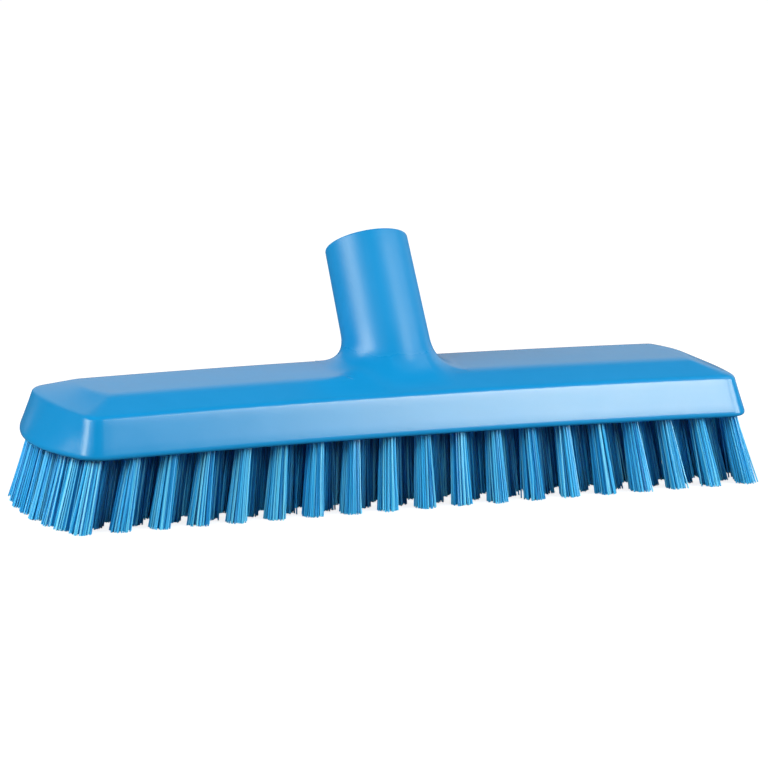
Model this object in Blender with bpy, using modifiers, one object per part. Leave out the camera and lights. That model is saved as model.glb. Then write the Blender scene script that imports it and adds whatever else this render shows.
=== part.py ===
"""Head of a water-fed scrub brush: a moulded block with a slanted handle socket, a
water channel closed by a perforated strip, a sealing washer and six rows of bristle.

Metres, +Z up. The bristle tips stand on z = 0 and the block runs along X. The handle
socket leans towards +Y. The origin is the middle of the brush's footprint box.
"""

import math

import bmesh
import bpy
from mathutils import Matrix, Vector

# Outline and height of the block
BLOCK_LENGTH = 0.270
BLOCK_WIDTH = 0.0676
CORNER_RADIUS = 0.009
SHOULDER_CORNER_RADIUS = 0.0064
END_BOW = 0.0094
SHOULDER_BOW = 0.0026
WALL_HEIGHT = 0.0141
SIDE_DRAFT = 0.0051
END_DRAFT = 0.0084
SLOPE_RISE = 0.0045
SIDE_SLOPE_RUN = 0.0137
END_SLOPE_RUN = 0.0112
PLATEAU_BOW = 0.0046
PLATEAU_CORNER_RADIUS = 0.0024
CROWN_RISE = 0.0016
LOWER_EDGE_ROUND = 0.0022
UPPER_EDGE_ROUND = 0.0011
SIDE_SHOULDER_ROUND = 0.002
END_SHOULDER_ROUND = 0.001
SIDE_HIP_ROUND = 0.0036
END_HIP_ROUND = 0.0012

# Handle socket
SOCKET_LEAN = math.radians(31)
SOCKET_RISE = 0.0461
SOCKET_BACK_LEDGE = 0.011
SOCKET_FOOT_RADIUS = 0.0154
SOCKET_RIM_RADIUS = 0.0148
SOCKET_RIM_ROUND = 0.0008
SOCKET_FILLET = 0.011
FILLET_LEDGE = 0.001
FILLET_TURN_SHARE = 0.5
SOCKET_ROOT = 0.003
BORE_RADIUS = 0.012
BORE_DEPTH = 0.042
MOUTH_CHAMFER = 0.0009

# Sealing washer on the floor of the socket
WASHER_THICKNESS = 0.002
WASHER_HOLE_RADIUS = 0.006

# Water passage, channel, and the perforated strip that closes the channel
PASSAGE_RADIUS = 0.0027
CHANNEL_WALL = 0.0021
CHANNEL_DEPTH = 0.0038
CHANNEL_END_SPACE = 0.005
STRIP_THICKNESS = 0.003
STRIP_LEDGE = 0.002
OUTLET_RADIUS = 0.0018
TUFTS_PER_OUTLET = 2

# Bristle: lengths and spacing of the tufts where they leave the block
BRISTLE_LENGTH = 0.0247
TUFTS_IN_OUTER_ROW = 19
END_ROW_MARGIN = 0.0144
OUTER_ROW_MARGIN = 0.0064
ROW_SPACING_SHARE = 0.2645
ROWS_EACH_SIDE = 3
END_ARC_BOW = 0.0055
END_TUFT_OFFSET = 0.0044
TUFT_BASE_RADIUS = 0.00175
TUFT_TIP_RADIUS = 0.0029
STRANDS_PER_TUFT = 4
STRAND_BASE_RADIUS = 0.0009
STRAND_TIP_RADIUS = 0.0013
FAN_LENGTH_SHARE = 0.065
FAN_WIDTH_SHARE = 0.05

# Slices of backing that carry the tufts in grooves under the block
BACKING_WIDTH = 0.0046
BACKING_DEPTH = 0.006
STRAND_ROOT = 0.0015

SEAT_GAP = 0.0003
OVERRUN = 0.002
MERGE_SHARE = 0.01

# Steps of the round stretches
END_STEPS = 5
CORNER_STEPS = 4
SIDE_STEPS = 9
ROUND_STEPS = 3
FILLET_STEPS = 5
SOCKET_SIDES = 32
BORE_SIDES = 24
HOLE_SIDES = 12
STRAND_SIDES = 3
SMOOTH_ANGLE = math.radians(35)

HALF_LENGTH = BLOCK_LENGTH / 2
HALF_WIDTH = BLOCK_WIDTH / 2
BLOCK_RISE = WALL_HEIGHT + SLOPE_RISE
UNDERSIDE = BRISTLE_LENGTH
WALL_TOP = UNDERSIDE + WALL_HEIGHT
PLATEAU = UNDERSIDE + BLOCK_RISE
SLOPE_EDGE = HALF_WIDTH - SIDE_DRAFT
PLATEAU_HALF_WIDTH = SLOPE_EDGE - SIDE_SLOPE_RUN
PLATEAU_HALF_LENGTH = HALF_LENGTH - END_DRAFT - END_SLOPE_RUN

# The socket's foot keeps its ledge from the back of the block
SOCKET_AXIS = Vector((0, math.sin(SOCKET_LEAN), math.cos(SOCKET_LEAN)))
SOCKET_SETBACK = SLOPE_EDGE - SOCKET_BACK_LEDGE - SOCKET_FOOT_RADIUS / math.cos(SOCKET_LEAN)
SOCKET_FOOT = Vector((0, SOCKET_SETBACK, PLATEAU + CROWN_RISE))
SOCKET_RIM = SOCKET_FOOT + SOCKET_AXIS * SOCKET_RISE
SOCKET_FLOOR = SOCKET_RIM - SOCKET_AXIS * BORE_DEPTH

# The outer row, the row between, and the row nearest the channel, as distances from X
OUTER_ROW_OFFSET = HALF_WIDTH - OUTER_ROW_MARGIN
ROW_SPACING = OUTER_ROW_OFFSET * ROW_SPACING_SHARE
ROW_OFFSETS = [OUTER_ROW_OFFSET - ROW_SPACING * step for step in range(ROWS_EACH_SIDE)]
END_TUFT_X = HALF_LENGTH - END_ROW_MARGIN
TUFT_PITCH = END_TUFT_X * 2 / (TUFTS_IN_OUTER_ROW - 1)

# The channel fills what the inner rows leave between them, apart from its walls and ledges
SEAT_HALF_WIDTH = ROW_OFFSETS[-1] - BACKING_WIDTH / 2 - SEAT_GAP - CHANNEL_WALL
CHANNEL_HALF_WIDTH = SEAT_HALF_WIDTH - SEAT_GAP - STRIP_LEDGE

# Front of the block or of the bristle tips and back of the socket rim, for the footprint
FRONT_REACH = max(HALF_WIDTH, OUTER_ROW_OFFSET * (1 + FAN_WIDTH_SHARE) + TUFT_TIP_RADIUS)
BACK_REACH = SOCKET_RIM.y + SOCKET_RIM_RADIUS * math.cos(SOCKET_LEAN)
FOOTPRINT_SHIFT = (BACK_REACH - FRONT_REACH) / 2


def steps(start, end, count):
    """Evenly spaced values from start to end, both included."""
    return [start + (end - start) * step / count for step in range(count + 1)]


def blend(first, corner, last, count):
    """Points of a curve that leaves first towards corner and arrives at last."""
    points = []
    for t in steps(0, 1, count):
        pairs = zip(first, corner, last)
        points.append(tuple((1 - t) ** 2 * a + 2 * t * (1 - t) * b + t * t * c for a, b, c in pairs))
    return points


def crown(x):
    """Height that the block's upward bend adds at a place along its length."""
    return CROWN_RISE * (1 - (x / HALF_LENGTH) ** 2)


def crowned(outline, height):
    """An outline in plan, placed at a height of the bent block."""
    return [Vector((x, y, height + crown(x))) for x, y in outline]


def plan_outline(half_length, half_width, bow, radius):
    """Counterclockwise plan of the block: straight sides, bowed ends and round corners."""
    corner_x = half_length - bow
    turn = math.atan(2 * bow / half_width)
    reach = radius * math.tan((math.pi / 2 - turn) / 2)
    end_y = half_width - reach * math.cos(turn)
    end = [(half_length - bow * (y / half_width) ** 2, y) for y in steps(0, end_y, END_STEPS)]
    side = [(x, half_width) for x in steps(corner_x - reach, 0, SIDE_STEPS)]
    corner = blend(end[-1], (corner_x, half_width), side[0], CORNER_STEPS)
    quarter = end + corner[1:-1] + side
    return (
        quarter
        + [(-x, y) for x, y in reversed(quarter[:-1])]
        + [(-x, -y) for x, y in quarter[1:]]
        + [(x, -y) for x, y in reversed(quarter[1:-1])]
    )


def between(low, high, share):
    """Ring of points part of the way from one ring to another."""
    return [a.lerp(b, share) for a, b in zip(low, high)]


def rounded(first, corner, last):
    """Rings of a rounded edge, from a ring below the edge to a ring past it."""
    curves = [blend(a, b, c, ROUND_STEPS) for a, b, c in zip(first, corner, last)]
    return [[Vector(curve[step]) for curve in curves] for step in range(ROUND_STEPS + 1)]


def material(name, color, roughness):
    """Plain principled material of a named piece."""
    made = bpy.data.materials.new(name)
    made.use_nodes = True
    shader = made.node_tree.nodes["Principled BSDF"]
    shader.inputs["Base Color"].default_value = (*color, 1)
    shader.inputs["Roughness"].default_value = roughness
    shader.inputs["Metallic"].default_value = 0
    return made


def add_object(mesh_source, name, collection, parent, finish=None):
    """Object from a bmesh, smooth apart from its sharp edges."""
    mesh = bpy.data.meshes.new(name)
    mesh_source.to_mesh(mesh)
    mesh_source.free()
    mesh.shade_smooth()
    mesh.set_sharp_from_angle(angle=SMOOTH_ANGLE)
    made = bpy.data.objects.new(name, mesh)
    collection.objects.link(made)
    made.parent = parent
    if finish:
        mesh.materials.append(finish)
    else:
        made.hide_render = True
        made.display_type = "WIRE"
    return made


def loft(rings):
    """Closed bmesh through rings of equal count that mirror across their first point."""
    made = bmesh.new()
    loops = [[made.verts.new(point) for point in ring] for ring in rings]
    count = len(loops[0])
    for low, high in zip(loops, loops[1:]):
        for k in range(count):
            after = (k + 1) % count
            made.faces.new((low[k], low[after], high[after], high[k]))
    for loop, turned in ((loops[0], True), (loops[-1], False)):
        for k in range(count // 2):
            corners = [loop[k], loop[k + 1], loop[-k - 1], loop[-k] if k else loop[0]]
            unlike = list(dict.fromkeys(corners))
            made.faces.new(reversed(unlike) if turned else unlike)
    return made


def crowned_bar(x_low, x_high, y_low, y_high, z_low, z_high):
    """Bar with square edges that follows the bend of the block."""
    made = bmesh.new()
    bmesh.ops.create_cube(made, size=1)
    size = Vector((x_high - x_low, y_high - y_low, z_high - z_low))
    middle = Vector((x_high + x_low, y_high + y_low, z_high + z_low)) / 2
    bmesh.ops.scale(made, vec=size, verts=made.verts)
    bmesh.ops.translate(made, vec=middle, verts=made.verts)
    bends = max(1, round(size.x / (TUFTS_PER_OUTLET * TUFT_PITCH)))
    for x in steps(x_low, x_high, bends)[1:-1]:
        everything = made.verts[:] + made.edges[:] + made.faces[:]
        bmesh.ops.bisect_plane(made, geom=everything, plane_co=(x, 0, 0), plane_no=(1, 0, 0))
    for vert in made.verts:
        vert.co.z += crown(vert.co.x)
    return made


def turned(profile, sides, name, collection, parent, finish=None):
    """Object that a profile of radii and heights makes, turned round its own Z."""
    outline = bmesh.new()
    verts = [outline.verts.new((radius, 0, height)) for radius, height in profile]
    for first, second in zip(verts, verts[1:]):
        outline.edges.new((first, second))
    made = add_object(outline, name, collection, parent, finish)
    screw = made.modifiers.new("turn", "SCREW")
    screw.steps = sides
    screw.render_steps = sides
    screw.use_merge_vertices = True
    screw.merge_threshold = SEAT_GAP * MERGE_SHARE
    screw.use_smooth_shade = True
    return made


def lay_on_slant(piece, start, lean=SOCKET_LEAN):
    """Stands a turned piece on a slanted axis, which is the socket's unless stated."""
    piece.location = start
    piece.rotation_euler = (-lean, 0, 0)


def combine(body, tool, operation):
    """Joins a tool to a body or cuts it out."""
    step = body.modifiers.new(f"{operation.lower()}_{tool.name}", "BOOLEAN")
    step.operation = operation
    step.solver = "EXACT"
    step.object = tool


def top_height(x, y):
    """Height of the block's upper face over a place inside the slopes."""
    down = max(0, abs(y) - PLATEAU_HALF_WIDTH) * SLOPE_RISE / SIDE_SLOPE_RUN
    return PLATEAU + crown(x) - down


def block_rings():
    """Rings of the block's outside, from the underside up to the plateau."""
    foot = crowned(plan_outline(HALF_LENGTH, HALF_WIDTH, END_BOW, CORNER_RADIUS), UNDERSIDE)
    inner_foot = crowned(
        plan_outline(
            HALF_LENGTH - LOWER_EDGE_ROUND, HALF_WIDTH - LOWER_EDGE_ROUND, END_BOW, CORNER_RADIUS
        ),
        UNDERSIDE,
    )
    shoulder = crowned(
        plan_outline(HALF_LENGTH - END_DRAFT, SLOPE_EDGE, SHOULDER_BOW, SHOULDER_CORNER_RADIUS),
        WALL_TOP,
    )
    hip = crowned(
        plan_outline(PLATEAU_HALF_LENGTH, PLATEAU_HALF_WIDTH, PLATEAU_BOW, PLATEAU_CORNER_RADIUS),
        PLATEAU,
    )
    inner_hip = crowned(
        plan_outline(
            PLATEAU_HALF_LENGTH - END_HIP_ROUND,
            PLATEAU_HALF_WIDTH - SIDE_HIP_ROUND,
            PLATEAU_BOW,
            PLATEAU_CORNER_RADIUS,
        ),
        PLATEAU,
    )
    lower = rounded(inner_foot, foot, between(foot, shoulder, LOWER_EDGE_ROUND / WALL_HEIGHT))
    upper = rounded(
        between(shoulder, foot, UPPER_EDGE_ROUND / WALL_HEIGHT),
        shoulder,
        on_slope(shoulder, hip, SIDE_SHOULDER_ROUND, END_SHOULDER_ROUND),
    )
    soft = rounded(on_slope(hip, shoulder, SIDE_HIP_ROUND, END_HIP_ROUND), hip, inner_hip)
    return lower + upper + soft


def on_slope(near, far, side_round, end_round):
    """Ring on the slopes where the rounding of an edge ends: soft at the sides, crisp at the ends."""
    ring = []
    for start, target in zip(near, far):
        run = target - start
        endwise = abs(run.x) / (abs(run.x) + abs(run.y))
        share = endwise * end_round / END_SLOPE_RUN + (1 - endwise) * side_round / SIDE_SLOPE_RUN
        ring.append(start.lerp(target, share))
    return ring


def socket_rings():
    """Rings of the socket's outside: a foot in the block, a fillet, the tube and its rim."""
    root, edge, above = [], [], []
    foot_circle, rim_circle, rim_top = [], [], []
    across = Vector((0, math.cos(SOCKET_LEAN), -math.sin(SOCKET_LEAN)))
    for k in range(SOCKET_SIDES):
        angle = 2 * math.pi * k / SOCKET_SIDES
        radial = Vector((math.cos(angle), 0, 0)) + across * math.sin(angle)
        outward = Vector((radial.x, radial.y, 0)).normalized()
        rim = SOCKET_RIM + radial * SOCKET_RIM_RADIUS
        foot = SOCKET_FOOT + radial * SOCKET_FOOT_RADIUS
        run = (rim - foot).normalized()
        meet = foot + run * ((top_height(foot.x, foot.y) - foot.z) / run.z)
        meet += run * ((top_height(meet.x, meet.y) - meet.z) / run.z)
        room = SLOPE_EDGE - FILLET_LEDGE - UPPER_EDGE_ROUND - abs(meet.y)
        fillet = min(SOCKET_FILLET, room / max(abs(outward.y), FILLET_TURN_SHARE))
        out = meet + outward * fillet
        out.z = top_height(out.x, out.y) - SEAT_GAP
        edge.append(out)
        root.append(out - Vector((0, 0, SOCKET_ROOT)))
        above.append(meet + run * fillet)
        foot_circle.append(meet)
        rim_circle.append(rim)
        rim_top.append(SOCKET_RIM + radial * (SOCKET_RIM_RADIUS - SOCKET_RIM_ROUND))
    skirt = [blend(a, b, c, FILLET_STEPS) for a, b, c in zip(edge, foot_circle, above)]
    rings = [root] + [[Vector(line[step]) for line in skirt] for step in range(FILLET_STEPS + 1)]
    below_rim = [point - SOCKET_AXIS * SOCKET_RIM_ROUND for point in rim_circle]
    return rings + rounded(below_rim, rim_circle, rim_top)


def tuft_rows():
    """Places of the tufts, row by row from front to back, as (y, list of x)."""
    lattice = [TUFT_PITCH * k for k in range(-(TUFTS_IN_OUTER_ROW // 2), TUFTS_IN_OUTER_ROW // 2 + 1)]
    staggered = [(a + b) / 2 for a, b in zip(lattice, lattice[1:])]
    rows = []
    for y, inner in zip(ROW_OFFSETS, (lattice[1:-1], staggered, lattice[1:-1])):
        end = end_arc_x(y)
        rows.append((y, [-end] + inner + [end]))
    return [(-y, xs) for y, xs in rows] + [(y, xs) for y, xs in reversed(rows)]


def end_arc_x(y):
    """Distance from the middle of the tufts that close the ends of the bristle field."""
    return END_TUFT_X + END_ARC_BOW * (1 - (y / OUTER_ROW_OFFSET) ** 2)


def tip_of(x, y):
    """Where the middle of a tuft reaches the floor, for one that leaves the block at x, y."""
    return x * (1 + FAN_LENGTH_SHARE), y * (1 + FAN_WIDTH_SHARE)


def add_strand(target, top, bottom):
    """Adds one leaning strand, cut level at both ends, to a bmesh."""
    made = bmesh.ops.create_cone(
        target,
        cap_ends=True,
        segments=STRAND_SIDES,
        radius1=STRAND_TIP_RADIUS,
        radius2=STRAND_BASE_RADIUS,
        depth=BRISTLE_LENGTH,
    )
    for vert in made["verts"]:
        end = top if vert.co.z > 0 else bottom
        vert.co = Vector((vert.co.x + end.x, vert.co.y + end.y, end.z))


def strands(places):
    """Bmesh of the strands of some tufts, which fan out towards their tips."""
    made = bmesh.new()
    for x, y in places:
        tip_x, tip_y = tip_of(x, y)
        for k in range(STRANDS_PER_TUFT):
            angle = 2 * math.pi * (k + 0.5) / STRANDS_PER_TUFT
            aside = Vector((math.cos(angle), math.sin(angle), 0))
            height = UNDERSIDE + crown(x)
            base = Vector((x, y, height)) + aside * TUFT_BASE_RADIUS
            tip = Vector((tip_x, tip_y, 0)) + aside * TUFT_TIP_RADIUS
            top = base + (base - tip) * (STRAND_ROOT / height)
            add_strand(made, top, tip)
    return made


def add_bristles(name, places, bounds, collection, tools, parent, finish):
    """One group of tufts on its slice of backing."""
    x_low, x_high, y_low, y_high = bounds
    bar = crowned_bar(x_low, x_high, y_low, y_high, UNDERSIDE, UNDERSIDE + BACKING_DEPTH)
    backing = add_object(bar, name, collection, parent, finish)
    hairs = add_object(strands(places), f"{name}_strands", tools, parent)
    combine(backing, hairs, "UNION")


def add_block(collection, tools, parent, finish):
    """The moulded block with its socket, water way and the grooves for the backing."""
    block = add_object(loft(block_rings()), "brush_block", collection, parent, finish)
    combine(block, add_object(loft(socket_rings()), "socket_outside", tools, parent), "UNION")

    mouth = BORE_RADIUS + MOUTH_CHAMFER
    bore_profile = [
        (0, OVERRUN),
        (mouth + OVERRUN, OVERRUN),
        (BORE_RADIUS, -MOUTH_CHAMFER),
        (BORE_RADIUS, -BORE_DEPTH),
        (0, -BORE_DEPTH),
    ]
    bore = turned(bore_profile, BORE_SIDES, "socket_bore", tools, parent)
    lay_on_slant(bore, SOCKET_RIM)
    combine(block, bore, "DIFFERENCE")

    roof = UNDERSIDE + STRIP_THICKNESS + SEAT_GAP + CHANNEL_DEPTH
    fall = SOCKET_FLOOR.z - roof - CROWN_RISE
    lean = math.atan2(SOCKET_FLOOR.y, fall)
    way = fall / math.cos(lean) + PASSAGE_RADIUS * math.tan(abs(lean)) + SEAT_GAP
    passage_profile = [(0, OVERRUN), (PASSAGE_RADIUS, OVERRUN), (PASSAGE_RADIUS, -way), (0, -way)]
    passage = turned(passage_profile, HOLE_SIDES, "water_passage", tools, parent)
    lay_on_slant(passage, SOCKET_FLOOR, lean)
    combine(block, passage, "DIFFERENCE")

    reach = channel_half_length()
    side = CHANNEL_HALF_WIDTH
    channel = crowned_bar(-reach, reach, -side, side, UNDERSIDE - OVERRUN, roof)
    combine(block, add_object(channel, "water_channel", tools, parent), "DIFFERENCE")
    ledge = STRIP_LEDGE + SEAT_GAP
    seat = crowned_bar(
        -reach - ledge,
        reach + ledge,
        -SEAT_HALF_WIDTH,
        SEAT_HALF_WIDTH,
        UNDERSIDE - OVERRUN,
        UNDERSIDE + STRIP_THICKNESS + SEAT_GAP,
    )
    combine(block, add_object(seat, "strip_seat", tools, parent), "DIFFERENCE")

    for name, x_low, x_high, y_low, y_high in groove_bounds():
        groove = crowned_bar(
            x_low - SEAT_GAP,
            x_high + SEAT_GAP,
            y_low - SEAT_GAP,
            y_high + SEAT_GAP,
            UNDERSIDE - OVERRUN,
            UNDERSIDE + BACKING_DEPTH + SEAT_GAP,
        )
        combine(block, add_object(groove, f"groove_{name}", tools, parent), "DIFFERENCE")


def channel_half_length():
    """Half length of the water channel: the outer outlet and the space beyond it."""
    return outlet_places()[-1] + CHANNEL_END_SPACE


def outlet_places():
    """Places of the water outlets along X, one at every other tuft."""
    spaces = (TUFTS_IN_OUTER_ROW // 2 - 1) // TUFTS_PER_OUTLET
    return [TUFTS_PER_OUTLET * TUFT_PITCH * k for k in range(-spaces, spaces + 1)]


def groove_bounds():
    """Name and plan bounds of each groove under the block: the rows and both ends."""
    half = BACKING_WIDTH / 2
    bounds = [
        (f"row_{number}", xs[0] - half, xs[-1] + half, y - half, y + half)
        for number, (y, xs) in enumerate(tuft_rows(), 1)
    ]
    end = end_arc_x(END_TUFT_OFFSET)
    side = END_TUFT_OFFSET + half
    return bounds + [
        ("end_left", -end - half, -end + half, -side, side),
        ("end_right", end - half, end + half, -side, side),
    ]


def add_bristle_rows(collection, tools, parent, finish):
    """Six rows of tufts, each on three slices of backing, and the tufts between their ends."""
    half = BACKING_WIDTH / 2
    for number, (y, xs) in enumerate(tuft_rows(), 1):
        third = round(len(xs) / 3)
        cuts = (0, third, len(xs) - third, len(xs))
        for part, first, after in zip(("left", "middle", "right"), cuts, cuts[1:]):
            group = xs[first:after]
            low = (xs[first - 1] + group[0] + SEAT_GAP) / 2 if first else group[0] - half
            high = (group[-1] + xs[after] - SEAT_GAP) / 2 if after < len(xs) else group[-1] + half
            add_bristles(
                f"bristle_row_{number}_{part}",
                [(x, y) for x in group],
                (low, high, y - half, y + half),
                collection,
                tools,
                parent,
                finish,
            )
    for part, x_low, x_high, y_low, y_high in groove_bounds()[-2:]:
        x = (x_low + x_high) / 2
        places = [(x, -END_TUFT_OFFSET), (x, END_TUFT_OFFSET)]
        bounds = (x_low, x_high, y_low, y_high)
        add_bristles(f"bristle_{part}", places, bounds, collection, tools, parent, finish)


def add_outlet_strip(collection, tools, parent, finish):
    """The strip with water outlets, seated over the channel between the inner rows."""
    reach = channel_half_length() + STRIP_LEDGE
    side = CHANNEL_HALF_WIDTH + STRIP_LEDGE
    bar = crowned_bar(-reach, reach, -side, side, UNDERSIDE, UNDERSIDE + STRIP_THICKNESS)
    strip = add_object(bar, "outlet_strip", collection, parent, finish)
    drills = bmesh.new()
    for x in outlet_places():
        height = UNDERSIDE + crown(x) + STRIP_THICKNESS / 2
        bmesh.ops.create_cone(
            drills,
            cap_ends=True,
            segments=HOLE_SIDES,
            radius1=OUTLET_RADIUS,
            radius2=OUTLET_RADIUS,
            depth=STRIP_THICKNESS + 2 * OVERRUN,
            matrix=Matrix.Translation((x, 0, height)),
        )
    combine(strip, add_object(drills, "outlet_holes", tools, parent), "DIFFERENCE")


def add_washer(collection, parent, finish):
    """The sealing washer that the end of the handle presses on."""
    low, high = SEAT_GAP, SEAT_GAP + WASHER_THICKNESS
    outer = BORE_RADIUS - SEAT_GAP
    profile = [
        (WASHER_HOLE_RADIUS, high),
        (outer, high),
        (outer, low),
        (WASHER_HOLE_RADIUS, low),
        (WASHER_HOLE_RADIUS, high),
    ]
    washer = turned(profile, BORE_SIDES, "socket_washer", collection, parent, finish)
    lay_on_slant(washer, SOCKET_FLOOR)


def main():
    for old in list(bpy.data.objects):
        bpy.data.objects.remove(old)
    parts = bpy.data.collections.new("water_fed_scrub_brush")
    tools = bpy.data.collections.new("cutters")
    for collection in (parts, tools):
        bpy.context.scene.collection.children.link(collection)
    tools.hide_render = True
    frame = bpy.data.objects.new("brush_frame", None)
    frame.location = (0, -FOOTPRINT_SHIFT, 0)
    parts.objects.link(frame)

    plastic = material("blue_polypropylene", (0.03, 0.27, 0.72), 0.3)
    bristle = material("blue_polyester_bristle", (0.06, 0.38, 0.82), 0.45)
    rubber = material("black_rubber", (0.02, 0.02, 0.02), 0.8)

    add_block(parts, tools, frame, plastic)
    add_outlet_strip(parts, tools, frame, plastic)
    add_washer(parts, frame, rubber)
    add_bristle_rows(parts, tools, frame, bristle)


main()
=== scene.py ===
"""Visual model of the head of a water-fed scrub brush.

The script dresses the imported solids: a crowned blue block with a slanted handle socket
and its coarse thread, a strip with water outlets, a sealing washer and 120 tufts of
filament that fan out towards the floor. Lengths are in metres in the frame of the CAD
model: the tips stand on z = 0, the block runs along X and the socket leans towards +Y.
"""

import logging
import math
import random
from dataclasses import dataclass, field
from enum import Enum

import bmesh
import bpy
from bmesh.types import BMesh
from bpy.types import Material, Node, NodeOutputs, NodeSocket, NodeTree, Object
from mathutils import Matrix, Vector


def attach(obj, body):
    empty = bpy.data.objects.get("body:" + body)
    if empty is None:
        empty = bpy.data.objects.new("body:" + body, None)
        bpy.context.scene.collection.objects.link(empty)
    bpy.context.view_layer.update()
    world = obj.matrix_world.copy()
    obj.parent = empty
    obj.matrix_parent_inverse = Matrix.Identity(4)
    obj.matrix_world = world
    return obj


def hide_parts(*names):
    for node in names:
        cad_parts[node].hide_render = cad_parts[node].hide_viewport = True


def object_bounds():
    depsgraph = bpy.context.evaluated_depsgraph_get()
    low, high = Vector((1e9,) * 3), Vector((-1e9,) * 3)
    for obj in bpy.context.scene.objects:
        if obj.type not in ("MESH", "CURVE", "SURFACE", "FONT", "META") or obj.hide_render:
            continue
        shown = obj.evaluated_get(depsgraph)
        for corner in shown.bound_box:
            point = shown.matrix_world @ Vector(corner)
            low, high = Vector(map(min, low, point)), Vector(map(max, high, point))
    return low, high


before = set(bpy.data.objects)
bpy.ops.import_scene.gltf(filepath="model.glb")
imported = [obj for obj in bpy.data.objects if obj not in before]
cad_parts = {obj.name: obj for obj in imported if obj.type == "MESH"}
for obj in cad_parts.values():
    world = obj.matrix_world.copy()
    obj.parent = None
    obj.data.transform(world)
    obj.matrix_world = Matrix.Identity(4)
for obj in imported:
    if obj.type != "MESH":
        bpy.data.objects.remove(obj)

LOG = logging.getLogger("scrub_brush")
CAD_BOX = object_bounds()
BODY = "root"
MM = 0.001
MERGE_DISTANCE = 0.001 * MM

# How far a cutter reaches past the face that it cuts
PAST = 2 * MM

# Reach of the outputs of the moulded surface
SLOW_TONE = 0.5
FINE_TONE = 0.25
GLOSS_RANGE = (-1.0, 3.0)

Colour = tuple[float, float, float]
Point = tuple[float, float, float]
Pairs = list[tuple[float, float]]
Ring = list[Vector]

WHITE: Colour = (1.0, 1.0, 1.0)
BLACK: Colour = (0.0, 0.0, 0.0)


class Slot(Enum):
    """Material slots that the record names."""

    BLOCK = "block_plastic"
    BRISTLE = "bristle"
    RUBBER = "seal_rubber"


class Side(Enum):
    """Groups that each row of tufts is divided into."""

    LEFT = "left"
    MIDDLE = "middle"
    RIGHT = "right"


# Small helpers for points and rings


def steps(start: float, end: float, count: int) -> list[float]:
    """Evenly spaced values from start to end, both included, with count spaces between them."""
    return [start + (end - start) * k / count for k in range(count + 1)]


def blend(first: Vector, corner: Vector, last: Vector, t: float) -> Vector:
    """Point at share t of a curve that leaves first towards corner and arrives at last."""
    return first * (1 - t) ** 2 + corner * (2 * t * (1 - t)) + last * t * t


def smooth_share(value: float, high: float) -> float:
    """Share of the way from 0 to high, eased at both ends."""
    t = min(1.0, max(0.0, value / high))
    return t * t * (3 - 2 * t)


def between(low: Ring, high: Ring, share: float) -> Ring:
    """Ring part of the way from one ring to another."""
    return [a.lerp(b, share) for a, b in zip(low, high)]


def rounded(first: Ring, corner: Ring, last: Ring, count: int) -> list[Ring]:
    """Rings of a rounded edge that leads from first round corner to last."""
    triples = list(zip(first, corner, last))
    return [[blend(*triple, t) for triple in triples] for t in steps(0, 1, count)]


def leaning(start: Vector, lean: float) -> Matrix:
    """Placement at start of a shape turned round Z, whose axis leans towards +Y."""
    return Matrix.Translation(start) @ Matrix.Rotation(-lean, 4, "X")


# Small helpers for shapes and objects


def as_mesh(source: BMesh, name: str) -> bpy.types.Mesh:
    """Turns a shape into mesh data.

    Args:
        source: The shape, which is freed.
        name: Name of the mesh.

    Returns:
        The mesh.
    """
    mesh = bpy.data.meshes.new(name)
    source.to_mesh(mesh)
    source.free()
    return mesh


def placed(name: str, data: bpy.types.ID) -> Object:
    """Makes an object and links it to the scene.

    Args:
        name: Name of the object.
        data: Its mesh, light or camera.

    Returns:
        The object, at the origin.
    """
    item = bpy.data.objects.new(name, data)
    bpy.context.scene.collection.objects.link(item)
    return item


def finished(source: BMesh, name: str, finish: Material, sharp: float) -> Object:
    """Turns a shape into a piece that rides on the brush.

    Args:
        source: The shape, which is freed.
        name: Name of the piece.
        finish: Its material.
        sharp: Angle in degrees past which an edge stays sharp.

    Returns:
        The new object, at the origin with its place in its mesh.
    """
    mesh = as_mesh(source, name)
    mesh.shade_smooth()
    mesh.set_sharp_from_angle(angle=math.radians(sharp))
    mesh.materials.append(finish)
    piece = placed(name, mesh)
    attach(piece, BODY)
    return piece


def combined(body: BMesh, tools: list[tuple[str, BMesh]]) -> BMesh:
    """Joins shapes to a body or cuts them out of it, in order.

    Args:
        body: The shape to change, which is freed.
        tools: Pairs of a Boolean operation and the shape it uses, which are freed.

    Returns:
        The combined shape.
    """
    base = placed("body", as_mesh(body, "body"))
    helpers = [base]
    for number, (operation, shape) in enumerate(tools):
        helper = placed(f"tool_{number}", as_mesh(shape, "tool"))
        helpers.append(helper)
        step = base.modifiers.new(f"step_{number}", "BOOLEAN")
        step.operation = operation
        step.solver = "EXACT"
        step.object = helper
    evaluated = base.evaluated_get(bpy.context.evaluated_depsgraph_get())
    result = bmesh.new()
    result.from_mesh(evaluated.to_mesh())
    evaluated.to_mesh_clear()
    for helper in helpers:
        mesh = helper.data
        bpy.data.objects.remove(helper)
        bpy.data.meshes.remove(mesh)
    return result


def moved(shape: BMesh, place: Matrix) -> BMesh:
    """Moves a shape and hands it back."""
    bmesh.ops.transform(shape, matrix=place, verts=shape.verts)
    return shape


def split(shape: BMesh, point: Point, normal: Point) -> None:
    """Adds a ring of edges where the plane through point crosses a shape."""
    everything = shape.verts[:] + shape.edges[:] + shape.faces[:]
    bmesh.ops.bisect_plane(shape, geom=everything, plane_co=point, plane_no=normal)


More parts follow.
